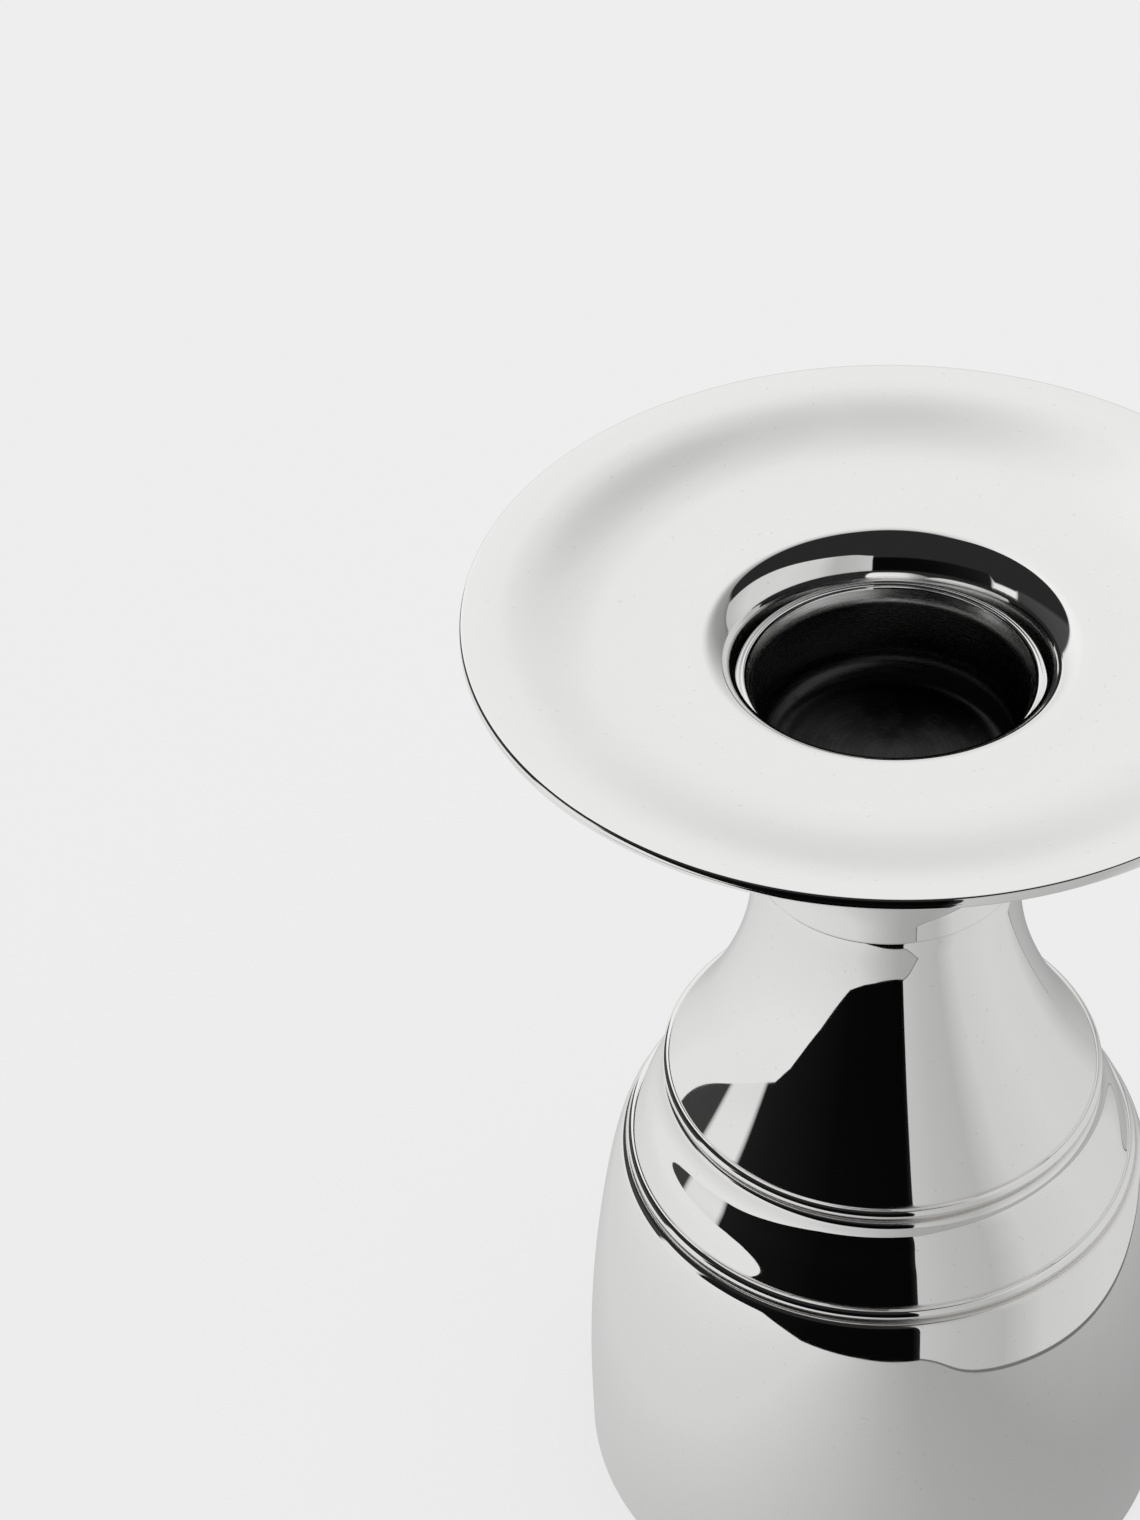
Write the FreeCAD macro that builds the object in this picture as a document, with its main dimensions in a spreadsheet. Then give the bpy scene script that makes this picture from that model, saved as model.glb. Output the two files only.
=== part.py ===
import FreeCAD, Part
import os
import re
import Sketcher

# A low table candlestick in spun silver: a wide drip pan with a sunk well, a lift-out
# candle cup standing in the well, a waisted neck, a stepped shoulder and a weighted bell.
# Every round piece is turned about the vertical axis; z is measured from the table.
doc = FreeCAD.newDocument("candlestick")

# ---------------------------------------------------------------- driving dimensions
DIMENSIONS = [
    ("overall_height", 98.5, "table to the top of the drip pan's rim"),
    ("pan_radius", 35.0, "outer edge of the drip pan"),
    ("pan_sheet", 0.5, "sheet thickness of the pan and its well"),
    ("pan_rim_wide", 6.5, "rim in to the knee, where the pan's slope is steepest"),
    ("pan_knee_drop", 1.3, "rim down to the knee"),
    ("pan_flat_wide", 4.85, "nearly level part of the pan, round the well"),
    ("pan_flat_drop", 2.9, "rim down to the start of the level part"),
    ("well_edge_drop", 3.25, "rim down to the turn into the well"),
    ("well_turn_wide", 3.55, "width of the rounded turn into the well"),
    ("well_turn", 3.8, "height of that turn"),
    ("well_lean", 0.6, "how far the well widens below that turn"),
    ("well_lean_tall", 1.8, "height over which it widens"),
    ("cup_gap", 0.2, "air between the cup and the well's wall"),
    ("floor_run", 0.6, "level floor of the well outside the cup's level foot"),
    ("rim_wire_tall", 0.45, "wire under the pan's edge, up and down"),
    ("rim_wire_wide", 1.0, "the same wire, across"),
    ("cup_drop", 6.7, "pan rim down to the candle cup's lip"),
    ("bore_radius", 11.3, "bore of the candle cup"),
    ("lip_flare", 0.65, "how much wider the cup's lip is than its bore, each side"),
    ("lip_flare_tall", 1.7, "height of the flare"),
    ("bore_depth", 8.6, "lip down to the cup's floor"),
    ("cup_wall", 0.45, "wall of the cup"),
    ("cup_corner", 2.6, "inside corner between the cup's wall and floor"),
    ("cup_floor", 0.5, "floor of the cup"),
    ("spigot_inset", 0.45, "edge of the cup's level foot in to the ring that centres it"),
    ("spigot_wall", 0.55, "wall of that ring"),
    ("spigot_tall", 3.0, "length of that ring"),
    ("spigot_gap", 0.05, "running clearance round the ring"),
    ("seat_thick", 0.9, "flange of the bush in the well's floor"),
    ("seat_flange", 2.0, "width of that flange"),
    ("seat_neck", 0.7, "wall of the bush where it passes the floor"),
    ("shell_wall", 0.6, "wall of the neck, shoulder and bell"),
    ("shell_gap", 0.75, "air between the well and the neck round it"),
    ("flare_wide", 3.0, "how far the neck flares out under the pan"),
    ("flare_rise", 4.6, "height of that flare"),
    ("waist_radius", 11.5, "narrowest part of the neck"),
    ("waist_drop", 26.3, "pan rim down to the seam at the waist"),
    ("waist_straight", 1.8, "straight length each side of the seam"),
    ("sleeve_wall", 0.7, "joining sleeve inside the waist"),
    ("sleeve_lap", 1.6, "sleeve each side of the seam"),
    ("trumpet_start_up", 0.618, "where the trumpet starts to widen, as a share of its height"),
    ("trumpet_start_out", 0.143, "the same place, as a share of its widening"),
    ("trumpet_mid_up", 0.368, "a place lower on its curve, as a share of its height"),
    ("trumpet_mid_out", 0.396, "the same place, as a share of its widening"),
    ("trumpet_skirt", 1.5, "upright end of the trumpet"),
    ("neck_bead_tall", 1.1, "half-round wire at the trumpet's end, up and down"),
    ("neck_bead_proud", 0.55, "how far that wire stands out"),
    ("shoulder_lip", 0.3, "ledge outside the trumpet"),
    ("shoulder_cove", 1.0, "height of the sloped edge below the ledge"),
    ("shoulder_cove_wide", 0.3, "width of that sloped edge"),
    ("shoulder_tall", 8.7, "shoulder, up and down"),
    ("shoulder_flare", 2.8, "how much wider its foot is than its top, each side"),
    ("shoulder_swell", 0.04, "how far the shoulder bulges beyond a straight cone"),
    ("step_height", 38.2, "table to the bell's flat top"),
    ("step_wide", 1.25, "shoulder's foot out to the bell's side"),
    ("step_bead_tall", 1.2, "half-round wire at the shoulder's foot, up and down"),
    ("step_bead_proud", 0.58, "how far that wire stands out"),
    ("bell_radius", 27.35, "upright foot of the bell"),
    ("bell_flare", 3.6, "how much wider its foot is than its top, each side"),
    ("bell_edge_round", 0.75, "radius of the bell's top edge"),
    ("bell_belly", 0.97, "how far the bell bulges beyond a straight cone"),
    ("bell_skirt", 6.0, "table to the top of the upright foot"),
    ("foot_clearance", 0.5, "table to the bell's bottom edge"),
    ("joint_lap", 1.6, "how far a shell reaches in under the one above"),
    ("foot_wire_wide", 1.2, "wire soldered inside the bell's foot, across"),
    ("foot_wire_tall", 1.2, "the same wire, up and down"),
    ("felt_thick", 0.9, "felt under the base"),
    ("felt_inset", 0.2, "base plate's edge to the felt's edge"),
    ("plate_thick", 1.0, "pressed base plate"),
    ("plate_gap", 0.35, "air between the base plate and the bell"),
    ("plate_dome_radius", 8.0, "raised middle of the base plate"),
    ("plate_dome_rise", 4.0, "how high it is raised"),
    ("weight_gap", 0.3, "air round the iron weight"),
    ("weight_height", 26.0, "iron weight, up and down"),
    ("weight_taper", 5.25, "how much narrower its top is than its foot, each side"),
    ("rod_radius", 2.0, "tie rod"),
    ("rod_gap", 0.4, "clearance holes round the tie rod"),
    ("rod_tail", 0.4, "rod below the nut"),
    ("anchor_thick", 3.0, "threaded disc at the waist"),
    ("washer_rim", 2.2, "washer under the base plate, hole to edge"),
    ("washer_thick", 0.8, "the same washer, up and down"),
    ("nut_rim", 1.5, "nut, from its thread to its flats"),
    ("nut_tall", 2.4, "nut, up and down"),
]
sheet = doc.addObject("Spreadsheet::Sheet", "dims")
for row, (alias, size, meaning) in enumerate(DIMENSIONS, start=1):
    sheet.set(f"A{row}", alias)
    sheet.set(f"B{row}", str(size))
    sheet.set(f"C{row}", meaning)
    sheet.setAlias(f"B{row}", alias)
doc.recompute()

ALIASES = {alias for alias, _, _ in DIMENSIONS}
# Heights and radii that follow from the driving dimensions, as expressions on them.
DERIVED = {
    "lip_z": "overall_height - cup_drop",
    "cup_floor_z": "lip_z - bore_depth",
    "seat_z": "cup_floor_z - cup_floor",
    "cup_outer": "bore_radius + cup_wall",
    "cup_foot_radius": "cup_outer - cup_corner - cup_wall",
    "spigot_radius": "cup_foot_radius - spigot_inset",
    "pan_knee_radius": "pan_radius - pan_rim_wide",
    "pan_flat_radius": "well_edge_radius + pan_flat_wide",
    "well_edge_radius": "well_radius + well_turn_wide",
    "well_radius": "cup_outer + cup_gap",
    "well_corner": "well_radius - cup_foot_radius - floor_run",
    "well_floor_z": "seat_z - pan_sheet",
    "well_corner_z": "seat_z + well_corner",
    "seat_radius": "spigot_radius + spigot_gap",
    "well_hole": "seat_radius + seat_neck",
    "well_outer": "well_radius + pan_sheet",
    "housing_radius": "well_outer + shell_gap + shell_wall",
    "flare_radius": "housing_radius + flare_wide",
    "flare_start_z": "overall_height - well_edge_drop - pan_sheet - flare_rise",
    "waist_height": "overall_height - waist_drop",
    "ledge_height": "step_height + shoulder_tall",
    "skirt_top_z": "ledge_height + trumpet_skirt",
    "trumpet_height": "waist_height - waist_straight - skirt_top_z",
    "trumpet_widening": "trumpet_radius - waist_radius",
    "bell_top_radius": "bell_radius - bell_flare",
    "shoulder_radius": "bell_top_radius - step_wide",
    "shoulder_top_radius": "shoulder_radius - shoulder_flare",
    "ledge_radius": "shoulder_top_radius - shoulder_cove_wide",
    "trumpet_radius": "ledge_radius - shoulder_lip",
    "shoulder_top_z": "ledge_height - shoulder_cove",
    "plate_z": "felt_thick",
    "wire_z": "plate_z + plate_thick",
    "dome_top_z": "wire_z + plate_dome_rise",
    "dome_under_z": "plate_z + plate_dome_rise",
    "washer_z": "dome_under_z - washer_thick",
    "nut_z": "washer_z - nut_tall",
    "plate_radius": "bell_radius - shell_wall - plate_gap",
    "sleeve_outer": "waist_radius - shell_wall",
    "anchor_radius": "waist_radius - shell_wall - sleeve_wall",
    "bell_edge_z": "step_height - bell_edge_round",
    "weight_radius": "bell_radius - shell_wall - foot_wire_wide - weight_gap",
    "weight_top_radius": "weight_radius - weight_taper",
    "rod_hole": "rod_radius + rod_gap",
    "washer_radius": "rod_hole + washer_rim",
    "nut_flats": "(rod_radius + nut_rim) * 2",
}


def bound(text):
    """An expression in plain names, rewritten so that it points at the sheet's cells."""
    def cell(match):
        word = match.group(0)
        if word in DERIVED:
            return f"({bound(DERIVED[word])})"
        return f"dims.{word}" if word in ALIASES else word
    return re.sub(r"[a-z][a-z_]*", cell, str(text))


def number(text):
    """The value of such an expression now."""
    return float(sheet.evalExpression(bound(text)))


def origin_plane(body, role):
    """One of a body's own origin planes."""
    return next(item for item in body.Origin.OriginFeatures if item.Role == role)


def new_sketch(label, role):
    """A body with that label and an empty sketch on one of its origin planes."""
    body = doc.addObject("PartDesign::Body", label)
    body.Label = label
    sketch = body.newObject("Sketcher::SketchObject", f"{label}_outline")
    sketch.AttachmentSupport = [(origin_plane(body, role), "")]
    sketch.MapMode = "FlatFace"
    return body, sketch


def pin(sketch, geometry, vertex, across, up):
    """Hold a sketch point at a place given by two expressions."""
    for kind, text in (("DistanceX", across), ("DistanceY", up)):
        index = sketch.addConstraint(
            Sketcher.Constraint(kind, -1, 1, geometry, vertex, number(text)))
        sketch.setExpression(f"Constraints[{index}]", bound(text))


def turned(label, outline):
    """A ring or shell turned about the axis. The outline is a closed list of corners
    (radius, height); a third item is a point that the arc to the next corner passes."""
    body, sketch = new_sketch(label, "XZ_Plane")
    places = [FreeCAD.Vector(number(corner[0]), number(corner[1]), 0) for corner in outline]
    count = len(outline)
    for i, corner in enumerate(outline):
        after = places[(i + 1) % count]
        if len(corner) == 3:
            across, up = corner[2]
            middle = FreeCAD.Vector(number(across), number(up), 0)
            sketch.addGeometry(Part.Arc(places[i], middle, after))
        else:
            sketch.addGeometry(Part.LineSegment(places[i], after))
    ends = []
    for i in range(count):
        gap = [(sketch.getPoint(i, vertex) - places[i]).Length for vertex in (1, 2)]
        ends.append((1, 2) if gap[0] < gap[1] else (2, 1))
    for i, corner in enumerate(outline):
        start = ends[i][0]
        before = (i - 1) % count
        sketch.addConstraint(
            Sketcher.Constraint("Coincident", before, ends[before][1], i, start))
        if number(corner[0]) == 0:
            sketch.addConstraint(Sketcher.Constraint("PointOnObject", i, start, -2))
            index = sketch.addConstraint(
                Sketcher.Constraint("DistanceY", -1, 1, i, start, number(corner[1])))
            sketch.setExpression(f"Constraints[{index}]", bound(corner[1]))
        else:
            pin(sketch, i, start, corner[0], corner[1])
    for i, corner in enumerate(outline):
        if len(corner) == 3:
            across, up = corner[2]
            place = FreeCAD.Vector(number(across), number(up), 0)
            point = sketch.addGeometry(Part.Point(place), True)
            pin(sketch, point, 1, across, up)
            sketch.addConstraint(Sketcher.Constraint("PointOnObject", point, 1, i))
    turn = body.newObject("PartDesign::Revolution", f"{label}_turning")
    turn.Profile = sketch
    turn.ReferenceAxis = (sketch, ["V_Axis"])
    turn.Angle = 360
    sketch.Visibility = False
    return body


def band(label, inner, outer, bottom, top):
    """A plain ring or disc with a square section."""
    return turned(label, [(inner, bottom), (outer, bottom), (outer, top), (inner, top)])


# ---------------------------------------------------------------- candle cup, lifts out
# A share of a quarter round that lies between its corner and its middle.
BOW = "0.2929"
OUTER_CORNER = "(cup_corner + cup_wall)"
# Spun cup with a flared, rounded lip and a radiused corner.
turned("candle_cup", [
    ("0", "seat_z"),
    ("cup_foot_radius", "seat_z",
     (f"cup_outer - {OUTER_CORNER} * {BOW}", f"seat_z + {OUTER_CORNER} * {BOW}")),
    ("cup_outer", f"seat_z + {OUTER_CORNER}"),
    ("cup_outer", "lip_z - lip_flare_tall"),
    ("cup_outer + lip_flare", "lip_z - cup_wall / 2",
     ("cup_outer + lip_flare - cup_wall / 2", "lip_z")),
    ("bore_radius + lip_flare", "lip_z - cup_wall / 2"),
    ("bore_radius", "lip_z - lip_flare_tall"),
    ("bore_radius", "cup_floor_z + cup_corner",
     (f"bore_radius - cup_corner * {BOW}", f"cup_floor_z + cup_corner * {BOW}")),
    ("bore_radius - cup_corner", "cup_floor_z"),
    ("0", "cup_floor_z"),
])
# Short ring soldered under the cup. It drops into the seat and centres the cup.
band("cup_spigot", "spigot_radius - spigot_wall", "spigot_radius",
     "seat_z - spigot_tall", "seat_z")

# ---------------------------------------------------------------- drip pan
# How far the dish bows from a straight cone, outside and inside its knee.
KNEE_BOW = "pan_knee_drop * 0.22"
FLAT_BOW = "(pan_flat_drop - pan_knee_drop) * 0.17"


def dish(drop):
    """The dish from its rim in to the well, a given depth under its top face."""
    rim = f"overall_height - {drop}"
    return {
        "knee": ("pan_knee_radius", f"{rim} - pan_knee_drop"),
        "inside": ("(pan_knee_radius + pan_flat_radius) / 2",
                   f"{rim} - (pan_knee_drop + pan_flat_drop) / 2 - {FLAT_BOW}"),
        "flat": ("pan_flat_radius", f"{rim} - pan_flat_drop"),
        "edge": ("well_edge_radius", f"{rim} - well_edge_drop"),
    }


top = dish("0")
under = dish("pan_sheet")
WELL_TOP = "overall_height - well_edge_drop - well_turn"
LEAN_FOOT = f"{WELL_TOP} - well_lean_tall"
TURN_IN = "(well_edge_radius - well_radius - well_lean)"
TURN_OUT = "(well_edge_radius - well_outer - well_lean)"
TURN_UP = "(well_turn - pan_sheet)"
WELL_ROUND = "(well_corner + pan_sheet)"
# Spun dish: level at the rim, steepest at the knee, nearly level again, then a rounded
# turn down into the well, which is one piece with it.
turned("drip_pan", [
    ("pan_radius", "overall_height",
     ("(pan_radius + pan_knee_radius) / 2", f"overall_height - pan_knee_drop / 2 + {KNEE_BOW}")),
    (*top["knee"], top["inside"]),
    top["flat"],
    (*top["edge"], (f"well_radius + well_lean + {TURN_IN} * {BOW}",
                    f"overall_height - well_edge_drop - well_turn * {BOW}")),
    ("well_radius + well_lean", WELL_TOP),
    ("well_radius", LEAN_FOOT),
    ("well_radius", "well_corner_z",
     (f"well_radius - well_corner * {BOW}", f"seat_z + well_corner * {BOW}")),
    ("well_radius - well_corner", "seat_z"),
    ("well_hole", "seat_z"),
    ("well_hole", "well_floor_z"),
    ("well_radius - well_corner", "well_floor_z",
     (f"well_outer - {WELL_ROUND} * {BOW}", f"well_floor_z + {WELL_ROUND} * {BOW}")),
    ("well_outer", "well_corner_z"),
    ("well_outer", LEAN_FOOT),
    ("well_outer + well_lean", WELL_TOP, (f"well_outer + well_lean + {TURN_OUT} * {BOW}",
                              f"{WELL_TOP} + {TURN_UP} * (1 - {BOW})")),
    under["edge"],
    (*under["flat"], under["inside"]),
    (*under["knee"], ("(pan_radius - rim_wire_wide + pan_knee_radius) / 2",
                      f"overall_height - pan_sheet - pan_knee_drop / 2 + {KNEE_BOW}")),
    ("pan_radius - rim_wire_wide", "overall_height - pan_sheet"),
    ("pan_radius", "overall_height - pan_sheet"),
])
# Wire soldered under the edge, which stiffens the thin sheet.
band("pan_rim_wire", "pan_radius - rim_wire_wide", "pan_radius",
     "overall_height - pan_sheet - rim_wire_tall", "overall_height - pan_sheet")
# Bush soldered into the hole in the well's floor from below. It centres the cup.
turned("cup_seat", [
    ("seat_radius", "well_floor_z - seat_thick"),
    ("seat_radius + seat_flange", "well_floor_z - seat_thick"),
    ("seat_radius + seat_flange", "well_floor_z"),
    ("well_hole", "well_floor_z"),
    ("well_hole", "seat_z"),
    ("seat_radius", "seat_z"),
])


# ---------------------------------------------------------------- neck
# Shares of the way across and up where an arc that leaves its start upright passes.
EASE_ACROSS = "0.26"
EASE_UP = "0.53"


def eased(start, end):
    """A point on such an arc."""
    return (f"({start[0]}) + (({end[0]}) - ({start[0]})) * {EASE_ACROSS}",
            f"({start[1]}) + (({end[1]}) - ({start[1]})) * {EASE_UP}")


def under_pan(radius):
    """Height of the pan's underside between its level part and the well."""
    return (f"overall_height - pan_sheet - pan_flat_drop - (well_edge_drop - pan_flat_drop)"
            f" * (pan_flat_radius - ({radius})) / (pan_flat_radius - well_edge_radius)")


def calyx(wall):
    """Upper half of the neck, seam to pan, a given depth inside its outer face."""
    waist = f"waist_radius - {wall}"
    house = f"housing_radius - {wall}"
    flare = f"flare_radius - {wall}"
    low = (waist, "waist_height + waist_straight")
    high = (house, "well_corner_z")
    middle = (f"(({waist}) + {house}) / 2",
              "(waist_height + waist_straight + well_corner_z) / 2")
    lift = (house, "flare_start_z")
    mouth = (flare, under_pan(flare))
    return [
        (waist, "waist_height"),
        (*low, eased(low, middle)),
        (*middle, eased(high, middle)),
        high,
        (*lift, (f"{house} + ({flare} - ({house})) * {BOW}",
                 f"flare_start_z + (({mouth[1]}) - flare_start_z) * (1 - {BOW})")),
        mouth,
    ]


def trumpet(wall):
    """Lower half of the neck, seam to ledge, a given depth inside its outer face."""
    waist = (f"waist_radius - {wall}", "waist_height - waist_straight")
    start = (f"waist_radius + trumpet_widening * trumpet_start_out - {wall}",
             "skirt_top_z + trumpet_height * trumpet_start_up")
    middle = (f"waist_radius + trumpet_widening * trumpet_mid_out - {wall}",
              "skirt_top_z + trumpet_height * trumpet_mid_up")
    return [
        (waist[0], "waist_height"),
        (*waist, eased(waist, start)),
        (*start, middle),
        (f"trumpet_radius - {wall}", "skirt_top_z"),
        (f"trumpet_radius - {wall}", "ledge_height"),
    ]


def backwards(outline):
    """The same outline walked from its end, each arc still between the same corners."""
    corners = [corner[:2] for corner in outline][::-1]
    passes = [corner[2:] for corner in outline][:-1][::-1] + [()]
    return [(*corner, *through) for corner, through in zip(corners, passes)]


# Two spun shells butted at the waist: a flared housing round the well and a trumpet.
turned("neck_calyx", calyx("0") + backwards(calyx("shell_wall")))
turned("neck_trumpet", trumpet("0") + backwards(trumpet("shell_wall")))
# Sleeve soldered inside the seam, and the threaded disc in it that the rod pulls on.
band("waist_sleeve", "anchor_radius", "sleeve_outer",
     "waist_height - sleeve_lap", "waist_height + sleeve_lap")
band("rod_anchor", "rod_radius", "anchor_radius",
     "waist_height - anchor_thick / 2", "waist_height + anchor_thick / 2")


def half_round(label, radius, proud, bottom, tall):
    """A half-round wire soldered round an upright wall."""
    return turned(label, [
        (radius, bottom, (f"{radius} + {proud}", f"{bottom} + {tall} / 2")),
        (radius, f"{bottom} + {tall}"),
    ])


half_round("neck_bead", "trumpet_radius", "neck_bead_proud",
           "skirt_top_z - neck_bead_tall", "neck_bead_tall")

# ---------------------------------------------------------------- shoulder
LEDGE_IN = "trumpet_radius - joint_lap"
SHOULDER_FOOT = "step_height + step_bead_tall"
SWELL_AT = f"(shoulder_top_z + {SHOULDER_FOOT}) / 2"
SWELL = "(shoulder_top_radius + shoulder_radius) / 2 + shoulder_swell"
# Rounded band with a ledge on top for the trumpet to stand on. Its foot is upright for
# the height of the wire round it.
turned("shoulder", [
    (LEDGE_IN, "ledge_height"),
    ("ledge_radius", "ledge_height"),
    ("shoulder_top_radius", "shoulder_top_z", (SWELL, SWELL_AT)),
    ("shoulder_radius", SHOULDER_FOOT),
    ("shoulder_radius", "step_height"),
    ("shoulder_radius - shell_wall", "step_height"),
    ("shoulder_radius - shell_wall", SHOULDER_FOOT, (f"{SWELL} - shell_wall", SWELL_AT)),
    ("shoulder_top_radius - shell_wall", "shoulder_top_z"),
    ("ledge_radius - shell_wall", "ledge_height - shell_wall"),
    (LEDGE_IN, "ledge_height - shell_wall"),
])
half_round("step_bead", "shoulder_radius", "step_bead_proud", "step_height", "step_bead_tall")

# ---------------------------------------------------------------- bell
BELLY = "(bell_top_radius + bell_radius) / 2 + bell_belly"
BELLY_Z = "(bell_edge_z + bell_skirt) / 2"
INNER_ROUND = "(bell_edge_round - shell_wall)"
# Spun bell with a flat top for the shoulder, a rounded edge and an upright foot.
turned("bell", [
    ("shoulder_radius - joint_lap", "step_height"),
    ("bell_top_radius - bell_edge_round", "step_height",
     (f"bell_top_radius - bell_edge_round * {BOW}", f"step_height - bell_edge_round * {BOW}")),
    ("bell_top_radius", "bell_edge_z", (BELLY, BELLY_Z)),
    ("bell_radius", "bell_skirt"),
    ("bell_radius", "foot_clearance"),
    ("bell_radius - shell_wall", "foot_clearance"),
    ("bell_radius - shell_wall", "bell_skirt", (f"{BELLY} - shell_wall", BELLY_Z)),
    ("bell_top_radius - shell_wall", "bell_edge_z",
     (f"bell_top_radius - shell_wall - {INNER_ROUND} * {BOW}",
      f"step_height - shell_wall - {INNER_ROUND} * {BOW}")),
    ("bell_top_radius - bell_edge_round", "step_height - shell_wall"),
    ("shoulder_radius - joint_lap", "step_height - shell_wall"),
])

# ---------------------------------------------------------------- base and fixings
# Wire soldered inside the bell's foot. The base plate pulls up against it.
band("foot_wire", "bell_radius - shell_wall - foot_wire_wide", "bell_radius - shell_wall",
     "wire_z", "wire_z + foot_wire_tall")
# Pressed plate with a raised middle that hides the nut.
turned("base_plate", [
    ("rod_hole", "dome_under_z"),
    ("plate_dome_radius - plate_thick", "dome_under_z"),
    ("plate_dome_radius", "plate_z"),
    ("plate_radius", "plate_z"),
    ("plate_radius", "wire_z"),
    ("plate_dome_radius + plate_thick", "wire_z"),
    ("plate_dome_radius", "dome_top_z"),
    ("rod_hole", "dome_top_z"),
])
band("base_felt", "0", "plate_radius - felt_inset", "0", "felt_thick")
# Cast weight that stands on the plate and keeps the stick upright.
turned("iron_weight", [
    ("rod_hole", "dome_top_z"),
    ("plate_dome_radius + weight_gap", "dome_top_z"),
    ("plate_dome_radius + plate_thick + weight_gap", "wire_z"),
    ("weight_radius", "wire_z"),
    ("weight_radius", "wire_z + weight_height / 2"),
    ("weight_top_radius", "wire_z + weight_height"),
    ("rod_hole", "wire_z + weight_height"),
])
# Threaded rod that holds neck, shoulder, bell and base together, with its washer and nut.
band("tie_rod", "0", "rod_radius", "nut_z - rod_tail", "waist_height + anchor_thick / 2")
band("rod_washer", "rod_hole", "washer_radius", "washer_z", "dome_under_z")


def hexagon_nut(label, flats, hole, bottom, tall):
    """A hexagon nut on the axis."""
    body, sketch = new_sketch(label, "XY_Plane")
    sketch.AttachmentOffset.Base.z = number(bottom)
    sketch.setExpression("AttachmentOffset.Base.z", bound(bottom))
    reach = number(flats) / 3 ** 0.5
    sides = [FreeCAD.Vector(reach, 0, 0)]
    turn = FreeCAD.Rotation(FreeCAD.Vector(0, 0, 1), 60)
    while len(sides) < 6:
        sides.append(turn.multVec(sides[-1]))
    for i in range(6):
        sketch.addGeometry(Part.LineSegment(sides[i], sides[(i + 1) % 6]))
    for i in range(6):
        sketch.addConstraint(Sketcher.Constraint("Coincident", i, 2, (i + 1) % 6, 1))
    round_all = sketch.addGeometry(Part.Circle(FreeCAD.Vector(), FreeCAD.Vector(0, 0, 1), reach),
                                   True)
    sketch.addConstraint(Sketcher.Constraint("Coincident", round_all, 3, -1, 1))
    for i in range(6):
        sketch.addConstraint(Sketcher.Constraint("PointOnObject", i, 1, round_all))
    for i in range(1, 6):
        sketch.addConstraint(Sketcher.Constraint("Equal", 0, i))
    sketch.addConstraint(Sketcher.Constraint("PointOnObject", 0, 1, -1))
    size = sketch.addConstraint(Sketcher.Constraint("Radius", round_all, reach))
    sketch.setExpression(f"Constraints[{size}]", f"({bound(flats)}) / sqrt(3)")
    bore = sketch.addGeometry(
        Part.Circle(FreeCAD.Vector(), FreeCAD.Vector(0, 0, 1), number(hole)))
    sketch.addConstraint(Sketcher.Constraint("Coincident", bore, 3, -1, 1))
    size = sketch.addConstraint(Sketcher.Constraint("Radius", bore, number(hole)))
    sketch.setExpression(f"Constraints[{size}]", bound(hole))
    pad = body.newObject("PartDesign::Pad", f"{label}_pad")
    pad.Profile = sketch
    pad.Length = number(tall)
    pad.setExpression("Length", bound(tall))
    sketch.Visibility = False
    return body


hexagon_nut("rod_nut", "nut_flats", "rod_radius", "nut_z", "nut_tall")

# ---------------------------------------------------------------- check and write
doc.recompute()
failed = [item.Name for item in doc.Objects
          if "Invalid" in item.State or "Error" in item.State]
pieces = [item for item in doc.Objects if item.TypeId == "PartDesign::Body"]
for piece in pieces:
    shape = piece.Shape
    if shape.isNull() or not shape.isValid() or len(shape.Solids) != 1:
        failed.append(piece.Label)
if failed:
    raise SystemExit(f"these did not build: {', '.join(failed)}")

os.makedirs("parts", exist_ok=True)
for piece in pieces:
    piece.Shape.exportStep(f"parts/{piece.Label}.step")
print(f"{len(pieces)} pieces written")
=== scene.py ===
import math
import bmesh
import bpy
import numpy
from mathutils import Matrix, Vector


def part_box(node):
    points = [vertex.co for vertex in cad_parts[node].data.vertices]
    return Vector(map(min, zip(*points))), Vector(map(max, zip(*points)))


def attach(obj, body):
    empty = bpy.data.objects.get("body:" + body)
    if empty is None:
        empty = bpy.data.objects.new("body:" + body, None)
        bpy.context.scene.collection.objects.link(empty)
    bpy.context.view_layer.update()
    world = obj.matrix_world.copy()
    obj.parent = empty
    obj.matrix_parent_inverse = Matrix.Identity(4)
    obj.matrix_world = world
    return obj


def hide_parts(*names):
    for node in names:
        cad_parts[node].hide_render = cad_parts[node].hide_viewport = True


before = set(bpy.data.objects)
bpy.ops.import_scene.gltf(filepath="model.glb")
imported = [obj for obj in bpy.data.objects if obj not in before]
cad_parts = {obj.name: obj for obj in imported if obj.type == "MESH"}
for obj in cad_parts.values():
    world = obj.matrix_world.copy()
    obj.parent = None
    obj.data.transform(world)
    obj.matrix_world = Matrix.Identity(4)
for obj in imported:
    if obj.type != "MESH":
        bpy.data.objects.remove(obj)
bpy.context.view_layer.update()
MM = 0.001

# ------------------------------------------------------------------------------- bell
# The foot of the stick: a bell spun from one sheet of silver, with a flat top, a rounded
# upper edge, a slightly bellied side and an upright foot. It hides an iron weight.
SHELL = 0.6 * MM
BELL_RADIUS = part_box("bell")[1][0]
BELL_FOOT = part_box("bell")[0][2]
BELL_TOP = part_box("bell")[1][2]
BELL_SIDE_TOP = (23.75 * MM, BELL_TOP - 0.7 * MM)
BELL_SIDE = [(26.53 * MM, 21.5 * MM), (25.33 * MM, 30.5 * MM), (24.47 * MM, 35.0 * MM)]
BELL_FLAT = 23.05 * MM
BELL_SKIRT = 6.0 * MM
BELL_HOLE = 20.4 * MM
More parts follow.
